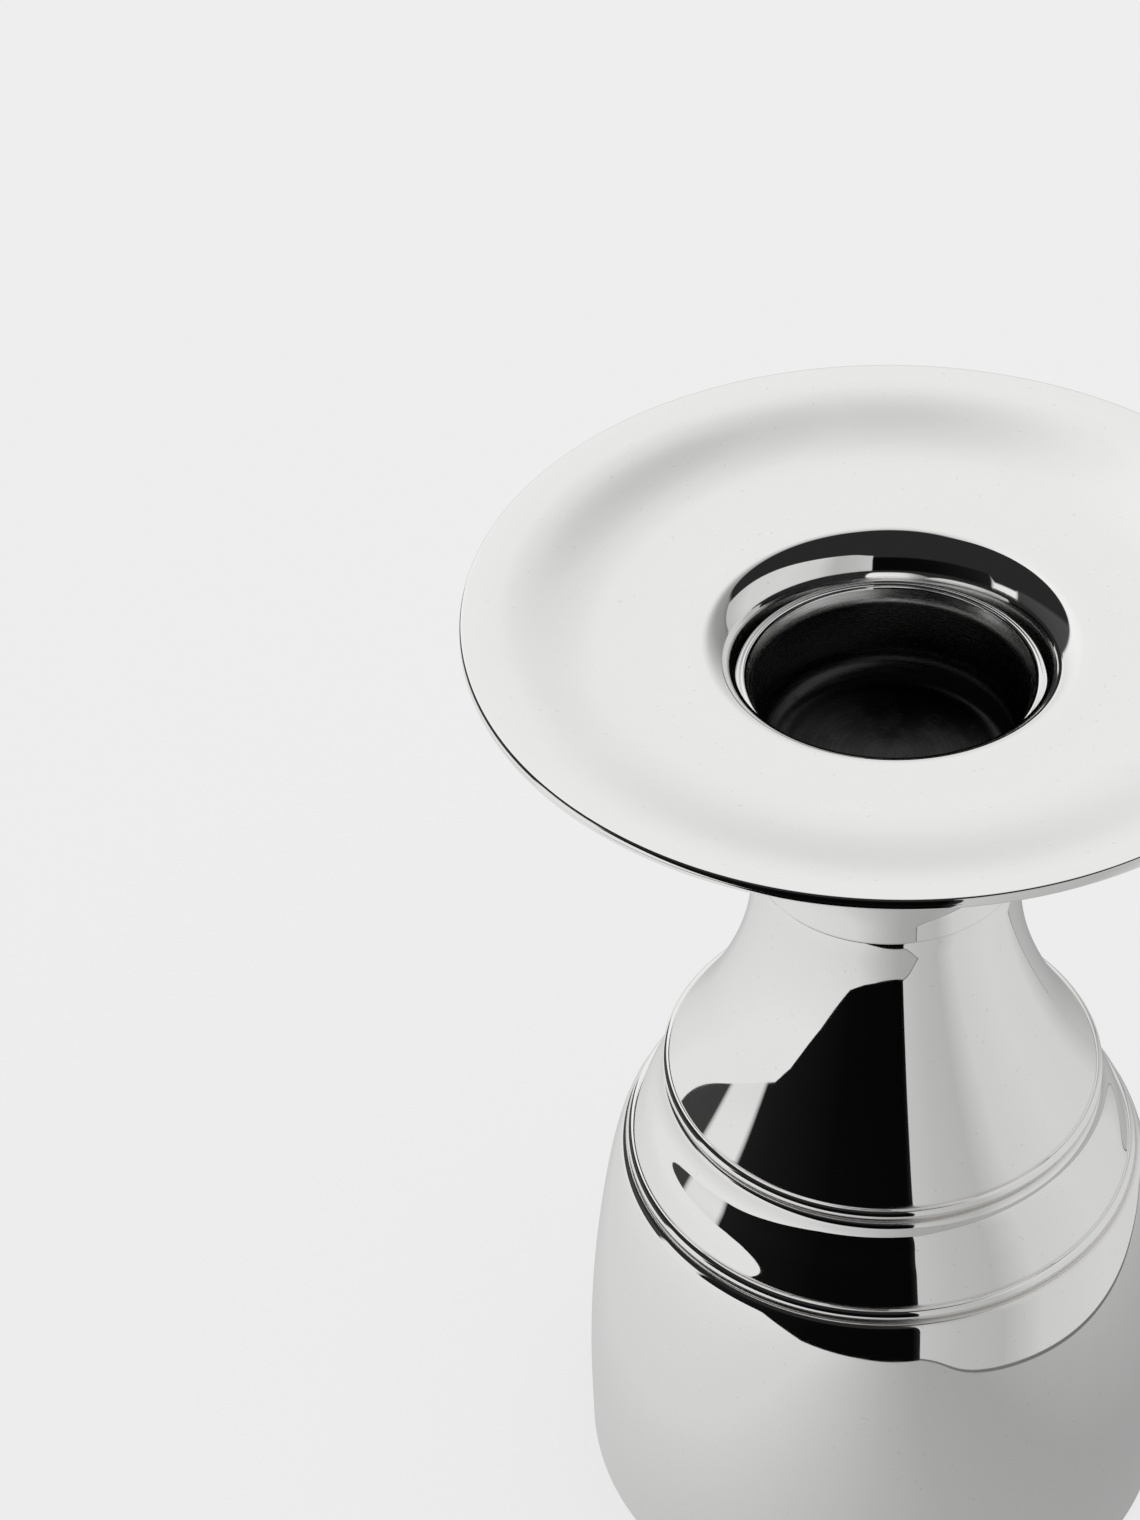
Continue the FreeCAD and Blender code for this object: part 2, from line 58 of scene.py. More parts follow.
# Directions across and up in which an outline leaves or meets a point.
UP = (0.0, 1.0)
INWARD = (-1.0, 0.0)
BELL_LEAN = (-0.34, 0.94)


def curve(points, leaves=None, arrives=None, steps=36):
    """A smooth line through a few points, with a direction at either end if one is given."""
    knots = numpy.array(points, dtype=float)
    spans = numpy.linalg.norm(numpy.diff(knots, axis=0), axis=1)
    slopes = numpy.diff(knots, axis=0) / spans[:, None]
    count = len(knots)
    weights = numpy.zeros((count, count))
    wanted = numpy.zeros((count, 2))
    for i in range(1, count - 1):
        weights[i, i - 1:i + 2] = spans[i], 2 * (spans[i - 1] + spans[i]), spans[i - 1]
        wanted[i] = 3 * (spans[i] * slopes[i - 1] + spans[i - 1] * slopes[i])
    for end, beside, slope, heading in ((0, 1, 0, leaves), (-1, -2, -1, arrives)):
        weights[end, end] = 2
        weights[end, beside] = 1
        wanted[end] = 3 * slopes[slope]
        if heading is not None:
            weights[end, beside] = 0
            wanted[end] = 2 * numpy.array(heading) / numpy.linalg.norm(heading)
    pulls = numpy.linalg.solve(weights, wanted)
    line = []
    for i, span in enumerate(spans):
        for step in range(steps):
            s = step / steps
            line.append(tuple(
                knots[i] * (1 + 2 * s) * (1 - s) ** 2 + pulls[i] * span * s * (1 - s) ** 2
                + knots[i + 1] * s * s * (3 - 2 * s) + pulls[i + 1] * span * s * s * (s - 1)))
    return line + [tuple(knots[-1])]


def rounded(corners, steps=6):
    """An outline whose corners (radius, height, rounding) have small rounds of that size."""
    outline = []
    for i, corner in enumerate(corners):
        if len(corner) == 2 or corner[2] == 0:
            outline.append(tuple(corner[:2]))
            continue
        tip = Vector(corner[:2])
        before = (Vector(corners[i - 1][:2]) - tip).normalized()
        after = (Vector(corners[(i + 1) % len(corners)][:2]) - tip).normalized()
        half = before.angle(after) / 2
        centre = tip + (before + after).normalized() * corner[2] / math.sin(half)
        start = (tip + before * corner[2] / math.tan(half) - centre).normalized()
        end = (tip + after * corner[2] / math.tan(half) - centre).normalized()
        for step in range(steps + 1):
            outline.append(tuple(centre + start.slerp(end, step / steps) * corner[2]))
    return outline


def lining(face, wall, drop):
    """The inside of a shell: its face moved in by the wall and down by a share of it."""
    return [(radius - wall, height - wall * drop) for radius, height in reversed(face)]


def stands_for(piece, node, body="stick"):
    """Ride a piece on its body, in place of its node."""
    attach(piece, body)
    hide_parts(node)


def turned(name, outline, node, finishes, body="stick", around=256):
    """A turned piece from a closed outline of (radius, height). It stands for its node."""
    shape = bmesh.new()
    rings = []
    for radius, height in outline:
        if radius == 0.0:
            rings.append([shape.verts.new((0, 0, height))] * around)
            continue
        rings.append([
            shape.verts.new((radius * math.cos(turn), radius * math.sin(turn), height))
            for turn in (2 * math.pi * step / around for step in range(around))])
    for i, ring in enumerate(rings):
        above = rings[(i + 1) % len(rings)]
        for step in range(around):
            beside = (step + 1) % around
            corners = dict.fromkeys([ring[step], ring[beside], above[beside], above[step]])
            if len(corners) > 2:
                shape.faces.new(corners)
    bmesh.ops.recalc_face_normals(shape, faces=shape.faces)
    piece = finished(name, shape, finishes)
    stands_for(piece, node, body)
    return piece


def finished(name, shape, finishes, crease=50):
    """An object from a bmesh, smooth but for edges sharper than the crease, in degrees."""
    mesh = bpy.data.meshes.new(name)
    shape.to_mesh(mesh)
    shape.free()
    for face in mesh.polygons:
        face.use_smooth = True
    mesh.set_sharp_from_angle(angle=math.radians(crease))
    for finish in finishes:
        mesh.materials.append(finish)
    piece = bpy.data.objects.new(name, mesh)
    bpy.context.scene.collection.objects.link(piece)
    return piece


class Link:
    """A socket in a finish, so that shader sums are written as sums."""

    def __init__(self, finish, socket):
        self.finish = finish
        self.socket = socket

    def sum(self, operation, first, second):
        return self.finish.node("ShaderNodeMath", {"operation": operation},
                                {0: first, 1: second})

    def __add__(self, other):
        return self.sum("ADD", self, other)

    def __radd__(self, other):
        return self.sum("ADD", other, self)

    def __sub__(self, other):
        return self.sum("SUBTRACT", self, other)

    def __rsub__(self, other):
        return self.sum("SUBTRACT", other, self)

    def __mul__(self, other):
        return self.sum("MULTIPLY", self, other)

    def __rmul__(self, other):
        return self.sum("MULTIPLY", other, self)

    def __truediv__(self, other):
        return self.sum("DIVIDE", self, other)

    def __pow__(self, other):
        return self.sum("POWER", self, other)


class Finish:
    """A procedural material on one Principled shader."""

    def __init__(self, name):
        self.material = bpy.data.materials.new(name)
        self.material.use_nodes = True
        self.nodes = self.material.node_tree.nodes
        self.surface = self.nodes["Principled BSDF"]

    def node(self, kind, settings, sockets, output=0):
        """A node's output, with its settings made first and then its sockets filled."""
        made = self.nodes.new(kind)
        for word, value in settings.items():
            if word == "stops":
                self.stops(made.color_ramp, value)
            else:
                setattr(made, word, value)
        for key, value in sockets.items():
            self.fill(made.inputs[key], value)
        return Link(self, made.outputs[output])

    def fill(self, socket, value):
        """Put a number, a colour or a link into a socket."""
        if isinstance(value, Link):
            self.material.node_tree.links.new(value.socket, socket)
        else:
            socket.default_value = value

    def stops(self, ramp, stops):
        """Set a ramp's stops, given as (place, grey)."""
        while len(ramp.elements) < len(stops):
            ramp.elements.new(1.0)
        for element, (place, grey) in zip(ramp.elements, stops):
            element.position = place
            element.color = (grey, grey, grey, 1)

    def shader(self, **sockets):
        """Fill the shader's own sockets, named with underscores for spaces."""
        for word, value in sockets.items():
            self.fill(self.surface.inputs[word.replace("_", " ")], value)

    def place(self):
        """Where a point is on the object: its x, y, z and distance from the axis."""
        spot = self.node("ShaderNodeTexCoord", {}, {}, "Object")
        x, y, z = (self.node("ShaderNodeSeparateXYZ", {}, {0: spot}, axis) for axis in "XYZ")
        return spot, x, y, z, (x * x + y * y) ** 0.5

    def speckle(self, spot, size, stops, detail=3.0, stretch=(1, 1, 1)):
        """Cloudy noise of about that size in metres, through a ramp."""
        scaled = self.node("ShaderNodeVectorMath", {"operation": "MULTIPLY"},
                           {0: spot, 1: [s / size for s in stretch]})
        cloud = self.node("ShaderNodeTexNoise", {},
                          {"Vector": scaled, "Scale": 1.0, "Detail": detail}, "Fac")
        return self.node("ShaderNodeValToRGB", {"stops": stops}, {0: cloud})

    def mix(self, share, first, second):
        """One colour over another."""
        return self.node("ShaderNodeMix", {"data_type": "RGBA"},
                         {0: share, 6: first, 7: second}, 2)

    def bump(self, height):
        """A surface raised by a height in metres."""
        return self.node("ShaderNodeBump", {},
                         {"Strength": 1.0, "Distance": 1.0, "Height": height}, "Normal")


SILVER = (0.935, 0.932, 0.925, 1)
TARNISH = (0.62, 0.59, 0.55, 1)


def silver(name, seams=(), gloss=0.018):
    """Hand-polished silver: a soft haze, faint rings from spinning, shallow waves, a few
    specks, and grey tarnish in the grooves at the given heights."""
    groove_reach = 0.22 * MM
    finish = Finish(name)
    spot, x, y, z, out = finish.place()
    haze = finish.speckle(spot, 9 * MM, [(0.35, 0.0), (0.72, 1.0)])
    smear = finish.speckle(spot, 2.2 * MM, [(0.45, 0.0), (0.8, 1.0)], stretch=(1, 1, 0.25))
    section = finish.node("ShaderNodeCombineXYZ", {}, {"X": out, "Y": z})
    rings = finish.speckle(section, 0.35 * MM, [(0.0, 0.0), (1.0, 1.0)], detail=1.0)
    waves = finish.speckle(spot, 7 * MM, [(0.0, 0.0), (1.0, 1.0)], detail=0.0)
    specks = finish.speckle(spot, 0.4 * MM, [(0.8, 0.0), (0.84, 1.0)], detail=0.0)
    groove = 0.0
    for seam in seams:
        away = finish.node("ShaderNodeMath", {"operation": "ABSOLUTE"}, {0: z - seam})
        near = finish.node("ShaderNodeMath", {"operation": "SUBTRACT", "use_clamp": True},
                           {0: 1.0, 1: away / groove_reach})
        groove = near + groove
    dirt = specks * 0.22 + smear * 0.02 + groove * 0.4
    finish.shader(
        Base_Color=finish.mix(dirt, SILVER, TARNISH),
        Metallic=1.0,
        Roughness=gloss + haze * 0.012 + smear * 0.02 + groove * 0.2,
        Normal=finish.bump(rings * 2.5e-8 + waves * 6e-6))
    return finish.material


BELL_SILVER = silver("bell_silver", seams=(BELL_TOP,))
bell_side = curve([(BELL_RADIUS, BELL_SKIRT), *BELL_SIDE, BELL_SIDE_TOP],
                  leaves=UP, arrives=BELL_LEAN)
bell_edge = curve([BELL_SIDE_TOP, (BELL_FLAT, BELL_TOP)],
                  leaves=BELL_LEAN, arrives=INWARD, steps=16)
turned("spun_bell", rounded([
    (BELL_RADIUS - SHELL, BELL_FOOT, 0.2 * MM),
    (BELL_RADIUS, BELL_FOOT, 0.25 * MM),
    *bell_side, *bell_edge[1:],
    (BELL_HOLE, BELL_TOP, 0.15 * MM),
    (BELL_HOLE, BELL_TOP - SHELL, 0.15 * MM),
    (BELL_FLAT, BELL_TOP - SHELL),
    *lining(bell_side, SHELL, 0.3),
]), "bell", [BELL_SILVER])

# -------------------------------------------------------------- wire in the bell's foot
# A round silver wire soldered inside the bell's foot. It stiffens the edge, and the base
# plate is pulled up against it.
FOOT_WIRE_LOW, FOOT_WIRE_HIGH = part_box("foot_wire")
FOOT_WIRE_THICK = FOOT_WIRE_HIGH[2] - FOOT_WIRE_LOW[2]


def ring_section(radius, height, thick, sides=20):
    """The outline of a round wire bent into a ring."""
    return [(radius + thick / 2 * math.cos(turn), height + thick / 2 * math.sin(turn))
            for turn in (2 * math.pi * side / sides for side in range(sides))]


SOLDERED_SILVER = silver("soldered_silver", gloss=0.12)
turned("foot_ring_wire",
       ring_section(FOOT_WIRE_HIGH[0] - FOOT_WIRE_THICK / 2,
                    FOOT_WIRE_LOW[2] + FOOT_WIRE_THICK / 2, FOOT_WIRE_THICK),
       "foot_wire", [SOLDERED_SILVER], around=160)

# -------------------------------------------------------------------------- iron weight
# A cast iron slug that stands on the base plate and keeps the stick upright. It is left as
# it came from the sand: drafted, with soft corners and a grainy dark skin.
WEIGHT_LOW, WEIGHT_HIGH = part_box("iron_weight")
WEIGHT_TOP_RADIUS = 20.0 * MM
WEIGHT_HOLE = 2.4 * MM
DOME_RADIUS = 8.0 * MM
DOME_RISE = 4.0 * MM
WEIGHT_GAP = 0.3 * MM
PLATE = 1.0 * MM


def cast_iron(name):
    """Sand-cast iron: dark grey, dull, pitted, with rust starting in the low places."""
    finish = Finish(name)
    spot, x, y, z, out = finish.place()
    grain = finish.speckle(spot, 0.5 * MM, [(0.3, 0.0), (0.8, 1.0)], detail=6.0)
    rust = finish.speckle(spot, 5 * MM, [(0.52, 0.0), (0.7, 1.0)])
    finish.shader(
        Base_Color=finish.mix(rust * 0.6, (0.055, 0.055, 0.058, 1), (0.16, 0.07, 0.035, 1)),
        Metallic=0.6,
        Roughness=0.55 + grain * 0.25,
        Normal=finish.bump(grain * 6e-5))
    return finish.material


turned("cast_weight", rounded([
    (WEIGHT_HOLE, WEIGHT_LOW[2] + DOME_RISE, 0.3 * MM),
    (DOME_RADIUS + WEIGHT_GAP, WEIGHT_LOW[2] + DOME_RISE, 0.4 * MM),
    (DOME_RADIUS + PLATE + WEIGHT_GAP, WEIGHT_LOW[2], 0.4 * MM),
    (WEIGHT_HIGH[0], WEIGHT_LOW[2], 0.6 * MM),
    (WEIGHT_HIGH[0], (WEIGHT_LOW[2] + WEIGHT_HIGH[2]) / 2, 3.0 * MM),
    (WEIGHT_TOP_RADIUS, WEIGHT_HIGH[2], 1.6 * MM),
    (WEIGHT_HOLE, WEIGHT_HIGH[2], 0.5 * MM),
]), "iron_weight", [cast_iron("sand_cast_iron")], around=96)

# --------------------------------------------------------------------------- base plate
# A zinc-plated steel disc pressed up in the middle, so that the nut stays above the table.
# It closes the bell and carries the weight.
PLATE_LOW, PLATE_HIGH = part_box("base_plate")
PLATE_TOP = PLATE_LOW[2] + PLATE
ROD_HOLE = 2.4 * MM


def plated(name, tint, gloss):
    """Zinc-plated steel: dull bright, with the plating's spangle and faint rubs."""
    finish = Finish(name)
    spot, x, y, z, out = finish.place()
    spangle = finish.speckle(spot, 1.6 * MM, [(0.3, 0.0), (0.7, 1.0)], detail=1.0)
    rubs = finish.speckle(spot, 0.3 * MM, [(0.4, 0.0), (0.8, 1.0)], stretch=(1, 0.1, 1))
    finish.shader(
        Base_Color=finish.mix(spangle * 0.35, tint, [0.8 * part for part in tint[:3]] + [1]),
        Metallic=1.0,
        Roughness=gloss + rubs * 0.12 + spangle * 0.06,
        Normal=finish.bump(rubs * 1.5e-6))
    return finish.material


ZINC = plated("zinc_plate", (0.60, 0.61, 0.63, 1), 0.28)
turned("pressed_plate", rounded([
    (ROD_HOLE, PLATE_HIGH[2] - PLATE, 0.1 * MM),
    (DOME_RADIUS - PLATE, PLATE_HIGH[2] - PLATE, 0.6 * MM),
    (DOME_RADIUS, PLATE_LOW[2], 0.6 * MM),
    (PLATE_HIGH[0], PLATE_LOW[2], 0.2 * MM),
    (PLATE_HIGH[0], PLATE_TOP, 0.2 * MM),
    (DOME_RADIUS + PLATE, PLATE_TOP, 0.6 * MM),
    (DOME_RADIUS, PLATE_HIGH[2], 0.6 * MM),
    (ROD_HOLE, PLATE_HIGH[2], 0.1 * MM),
]), "base_plate", [ZINC], around=160)

# ---------------------------------------------------------------- tie rod, washer and nut
# A plated steel rod from the waist down to a washer and a hexagon nut under the raised
# middle of the plate. It pulls neck, shoulder, bell and plate together.
ROD_LOW, ROD_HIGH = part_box("tie_rod")
ROD_RADIUS = ROD_HIGH[0]
THREAD_PITCH = 0.7 * MM
THREAD_DEPTH = 0.32 * MM
THREAD_LENGTH = 11.0 * MM
ROD_SIDES = 32
STEPS_A_PITCH = 8


def threaded_rod(name):
    """The rod as one skin, with a helical groove at both ends and turned-down tips."""
    length = ROD_HIGH[2] - ROD_LOW[2]
    count = round(length / THREAD_PITCH) * STEPS_A_PITCH
    shape = bmesh.new()
    rings = []
    for level in range(count + 1):
        up = length * level / count
        ring = []
        for side in range(ROD_SIDES):
            share = side / ROD_SIDES
            from_end = min(up, length - up)
            cut = 0.5 + 0.5 * math.cos(2 * math.pi * (up / THREAD_PITCH - share))
            fade = min(1.0, max(0.0, (THREAD_LENGTH - from_end) / THREAD_PITCH))
            tip = max(0.0, THREAD_PITCH - from_end) * 0.6
            radius = ROD_RADIUS - THREAD_DEPTH * cut * fade - tip * (1 - cut * 0.5)
            turn = 2 * math.pi * share
            ring.append(shape.verts.new((radius * math.cos(turn), radius * math.sin(turn),
                                         ROD_LOW[2] + up)))
        rings.append(ring)
    for ring, above in zip(rings, rings[1:]):
        for side in range(ROD_SIDES):
            beside = (side + 1) % ROD_SIDES
            shape.faces.new((ring[side], ring[beside], above[beside], above[side]))
    shape.faces.new(rings[0][::-1])
    shape.faces.new(rings[-1])
    return finished(name, shape, [ZINC], crease=40)


stands_for(threaded_rod("threaded_rod"), "tie_rod")

WASHER_LOW, WASHER_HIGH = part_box("rod_washer")
turned("flat_washer", rounded([
    (ROD_HOLE, WASHER_LOW[2], 0.08 * MM),
    (WASHER_HIGH[0], WASHER_LOW[2], 0.2 * MM),
    (WASHER_HIGH[0], WASHER_HIGH[2], 0.1 * MM),
    (ROD_HOLE, WASHER_HIGH[2], 0.08 * MM),
]), "rod_washer", [ZINC], around=64)

NUT_LOW, NUT_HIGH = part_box("rod_nut")
NUT_FLATS = 7.0 * MM
NUT_CORNER = NUT_FLATS / math.sqrt(3)
NUT_TALL = NUT_HIGH[2] - NUT_LOW[2]


def chamfered_nut(name, around=72):
    """A hexagon whose corners are turned off at both ends, round a plain hole."""
    shape = bmesh.new()
    levels = [(0.0, 0.94), (0.08, 1.0), (0.2, 2.0), (0.8, 2.0), (0.92, 1.0), (1.0, 0.94)]
    rings = []
    for up, limit in levels:
        ring = []
        for step in range(around):
            turn = 2 * math.pi * step / around
            from_flat = (turn + math.pi / 6) % (math.pi / 3) - math.pi / 6
            flat = NUT_FLATS / 2 / math.cos(math.pi / 6 - abs(from_flat))
            reach = min(flat, NUT_CORNER * limit)
            ring.append(shape.verts.new((reach * math.cos(turn), reach * math.sin(turn),
                                         NUT_LOW[2] + NUT_TALL * up)))
        rings.append(ring)
    for up in (1.0, 0.0):
        rings.append([
            shape.verts.new((ROD_RADIUS * math.cos(turn), ROD_RADIUS * math.sin(turn),
                             NUT_LOW[2] + NUT_TALL * up))
            for turn in (2 * math.pi * step / around for step in range(around))])
    for i, ring in enumerate(rings):
        above = rings[(i + 1) % len(rings)]
        for step in range(around):
            beside = (step + 1) % around
            shape.faces.new((ring[step], ring[beside], above[beside], above[step]))
    bmesh.ops.recalc_face_normals(shape, faces=shape.faces)
    return finished(name, shape, [ZINC], crease=20)


stands_for(chamfered_nut("hexagon_nut"), "rod_nut")

# ---------------------------------------------------------------------------- base felt
# A disc of black wool felt glued under the plate, which the stick stands on. Its cut edge
# is soft and its face is a fine tangle of fibres.
FELT_LOW, FELT_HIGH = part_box("base_felt")


def wool_felt(name):
    """Pressed wool: matt, matted in fine curls, with paler lint on it."""
    finish = Finish(name)
    spot, x, y, z, out = finish.place()
    fibre = finish.speckle(spot, 0.35 * MM, [(0.25, 0.0), (0.75, 1.0)], detail=8.0)
    tufts = finish.speckle(spot, 3 * MM, [(0.3, 0.0), (0.8, 1.0)])
    lint = finish.speckle(spot, 0.9 * MM, [(0.72, 0.0), (0.76, 1.0)], stretch=(1, 0.2, 1))
    wool = finish.mix(fibre * 0.7 + tufts * 0.2, (0.012, 0.013, 0.016, 1),
                      (0.06, 0.062, 0.07, 1))
    finish.shader(
        Base_Color=finish.mix(lint * 0.5, wool, (0.3, 0.3, 0.31, 1)),
        Roughness=0.92 + tufts * 0.06,
        Sheen_Weight=0.35,
        Normal=finish.bump(fibre * 1.2e-4))
    return finish.material


turned("wool_felt_disc", rounded([
    (0.0, FELT_LOW[2], 0),
    *[(FELT_HIGH[0] * share, FELT_LOW[2], 0) for share in (0.25, 0.5, 0.75)],
    (FELT_HIGH[0], FELT_LOW[2], 0.3 * MM),
    (FELT_HIGH[0], FELT_HIGH[2], 0.3 * MM),
    (0.0, FELT_HIGH[2], 0),
]), "base_felt", [wool_felt("black_wool_felt")], around=192)

# ----------------------------------------------------------------------------- shoulder
# A sloping band spun from silver, soldered on the bell's flat top. A narrow ledge on top
# of it carries the neck, and its foot is upright behind the wire round it.
SHOULDER_LOW, SHOULDER_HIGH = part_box("shoulder")
SHOULDER_FOOT_RADIUS = 22.5 * MM
SHOULDER_TOP_RADIUS = 19.7 * MM
LEDGE_RADIUS = 19.4 * MM
LEDGE_HOLE = 17.6 * MM
STEP_BEAD_TALL = 1.2 * MM
BEAD_GROOVE = SHOULDER_LOW[2] + STEP_BEAD_TALL + 0.1 * MM
SHOULDER_FOOT_TOP = SHOULDER_LOW[2] + STEP_BEAD_TALL
SHOULDER_TOP = SHOULDER_HIGH[2] - 1.0 * MM
SHOULDER_MIDDLE = (21.14 * MM, (SHOULDER_FOOT_TOP + SHOULDER_TOP) / 2)
swell = curve([(SHOULDER_FOOT_RADIUS, SHOULDER_FOOT_TOP), SHOULDER_MIDDLE,
               (SHOULDER_TOP_RADIUS, SHOULDER_TOP), (LEDGE_RADIUS, SHOULDER_HIGH[2])],
              leaves=(-0.39, 0.92), arrives=(-0.9, 0.44), steps=16)
turned("spun_shoulder", rounded([
    (SHOULDER_FOOT_RADIUS - SHELL, SHOULDER_LOW[2], 0.05 * MM),
    (SHOULDER_FOOT_RADIUS, SHOULDER_LOW[2], 0.05 * MM),
    *swell,
    (LEDGE_HOLE, SHOULDER_HIGH[2], 0.1 * MM),
    (LEDGE_HOLE, SHOULDER_HIGH[2] - SHELL, 0.1 * MM),
    *lining(swell[:-8], SHELL, 0.3),
]), "shoulder", [silver("shoulder_silver", seams=(BEAD_GROOVE, SHOULDER_HIGH[2]))])

# ----------------------------------------------------------------------------- step bead
# A half-round wire soldered round the shoulder's foot. It covers the joint with the bell,
# and dark polish stays in the grooves beside it.


def half_round(name, node, foot_radius, finish):
    """A half-round wire: a flat back against the wall and a rounded front."""
    low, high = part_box(node)
    middle = (low[2] + high[2]) / 2
    bow = [(foot_radius + (high[0] - foot_radius) * math.cos(turn),
            middle + (high[2] - low[2]) / 2 * math.sin(turn))
           for turn in (math.pi * (step / 20 - 0.5) for step in range(21))]
    return turned(name, bow, node, [finish])


BEAD_SILVER = silver("bead_silver", gloss=0.02)
half_round("step_bead_wire", "step_bead", SHOULDER_FOOT_RADIUS, BEAD_SILVER)

# ------------------------------------------------------------------------- neck, trumpet
# The lower half of the neck: a trumpet spun from one disc, standing upright on the
# shoulder's ledge and butted to the upper half at the waist.
TRUMPET_LOW, TRUMPET_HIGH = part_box("neck_trumpet")
TRUMPET_RADIUS = 19.1 * MM
WAIST_RADIUS = 11.5 * MM
TRUMPET_SKIRT = TRUMPET_LOW[2] + 1.5 * MM
WAIST_FOOT = TRUMPET_HIGH[2] - 1.8 * MM
flank = curve([(TRUMPET_RADIUS, TRUMPET_SKIRT), (16.5 * MM, 52.5 * MM), (14.55 * MM, 56.5 * MM),
               (12.6 * MM, 62.0 * MM), (11.62 * MM, 67.5 * MM), (WAIST_RADIUS, WAIST_FOOT)],
              arrives=UP, steps=22)
turned("spun_trumpet", rounded([
    (TRUMPET_RADIUS - SHELL, TRUMPET_LOW[2], 0.08 * MM),
    (TRUMPET_RADIUS, TRUMPET_LOW[2], 0.08 * MM),
    *flank,
    (WAIST_RADIUS, TRUMPET_HIGH[2], 0.06 * MM),
    (WAIST_RADIUS - SHELL, TRUMPET_HIGH[2], 0.06 * MM),
    *lining(flank[:-4], SHELL, 0.4),
]), "neck_trumpet", [silver("trumpet_silver", seams=(TRUMPET_SKIRT,))])

# ----------------------------------------------------------------------------- neck bead
# A half-round wire round the trumpet's upright end, soldered like the one below it.
half_round("neck_bead_wire", "neck_bead", TRUMPET_RADIUS, BEAD_SILVER)

# ------------------------------------------------------------- sleeve and disc at the waist
# A brass sleeve soldered inside the seam of the neck, and the brass disc in it that the tie
# rod screws into. Both are turned from bar.


def turned_brass(name):
    """Machined brass: fine tool rings, warm, with brown flux stains."""
    finish = Finish(name)
    spot, x, y, z, out = finish.place()
    section = finish.node("ShaderNodeCombineXYZ", {}, {"X": out, "Y": z})
    rings = finish.speckle(section, 0.08 * MM, [(0.2, 0.0), (0.8, 1.0)], detail=2.0)
    stain = finish.speckle(spot, 2.5 * MM, [(0.5, 0.0), (0.75, 1.0)])
    finish.shader(
        Base_Color=finish.mix(stain * 0.6, (0.78, 0.60, 0.30, 1), (0.35, 0.21, 0.10, 1)),
        Metallic=1.0,
        Roughness=0.22 + rings * 0.15 + stain * 0.2,
        Normal=finish.bump(rings * 2e-6))
    return finish.material


BRASS = turned_brass("turned_brass")


def ring_bar(name, node, inner, chamfer, finish):
    """A plain ring with its edges broken."""
    low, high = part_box(node)
    return turned(name, rounded([
        (inner, low[2], chamfer), (high[0], low[2], chamfer),
        (high[0], high[2], chamfer), (inner, high[2], chamfer)]),
        node, [finish], around=128)


ANCHOR_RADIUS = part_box("rod_anchor")[1][0]
ring_bar("brass_sleeve", "waist_sleeve", ANCHOR_RADIUS, 0.12 * MM, BRASS)
ring_bar("threaded_disc", "rod_anchor", ROD_RADIUS, 0.25 * MM, BRASS)

# -------------------------------------------------------------------------- neck, calyx
# The upper half of the neck: a flared housing that hides the well of the pan and meets the
# trumpet at the waist. Its mouth is soldered under the pan.
CALYX_LOW, CALYX_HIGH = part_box("neck_calyx")
HOUSING_RADIUS = 13.8 * MM
WAIST_TOP = CALYX_LOW[2] + 1.8 * MM
WELL_CORNER_TOP = 85.35 * MM
FLARE_FOOT = 90.15 * MM
bowl = curve([(WAIST_RADIUS, WAIST_TOP), ((WAIST_RADIUS + HOUSING_RADIUS) / 2, 79.6 * MM),
              (HOUSING_RADIUS, WELL_CORNER_TOP), (HOUSING_RADIUS, FLARE_FOOT)],
             leaves=UP, arrives=UP, steps=16)
flare = curve([(HOUSING_RADIUS, FLARE_FOOT),
               (HOUSING_RADIUS + 0.9 * MM, CALYX_HIGH[2] - 1.3 * MM),
               (CALYX_HIGH[0], CALYX_HIGH[2] - 0.02 * MM)],
              leaves=UP, arrives=(1.0, 0.25), steps=12)
calyx_face = [(WAIST_RADIUS, CALYX_LOW[2]), *bowl, *flare[1:]]
turned("spun_calyx", [
    *calyx_face,
    *[(radius - SHELL * 0.98, min(height + SHELL * 0.1, CALYX_HIGH[2])) for radius, height
      in reversed(calyx_face)],
], "neck_calyx", [silver("calyx_silver", seams=(CALYX_LOW[2],))])

# ----------------------------------------------------------------------------- drip pan
# The wide dish that catches the wax, spun with its well from one sheet: level at the rim,
# sloping in, nearly level again, then a rounded turn that runs on down into the well.
PAN_LOW, PAN_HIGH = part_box("drip_pan")
PAN_RADIUS = PAN_HIGH[0]
PAN_RIM = PAN_HIGH[2]
SHEET = 0.5 * MM
RIM_BREAK = 0.12 * MM
WELL_RADIUS = 11.95 * MM
WELL_EDGE = (15.5 * MM, PAN_RIM - 3.25 * MM)
WELL_TURN = 5.6 * MM
WELL_CORNER = 2.65 * MM
WELL_FLOOR = PAN_LOW[2] + SHEET
WELL_HOLE = 9.0 * MM
WELL_SLOPE = (-1.0, -0.12)
dish = curve([(PAN_RADIUS - RIM_BREAK, PAN_RIM), (32.0 * MM, PAN_RIM - 0.33 * MM),
              (28.5 * MM, PAN_RIM - 1.3 * MM), (24.5 * MM, PAN_RIM - 2.37 * MM),
              (20.5 * MM, PAN_RIM - 2.92 * MM), (17.6 * MM, PAN_RIM - 3.12 * MM), WELL_EDGE],
             leaves=(-1.0, -0.03), arrives=WELL_SLOPE, steps=14)
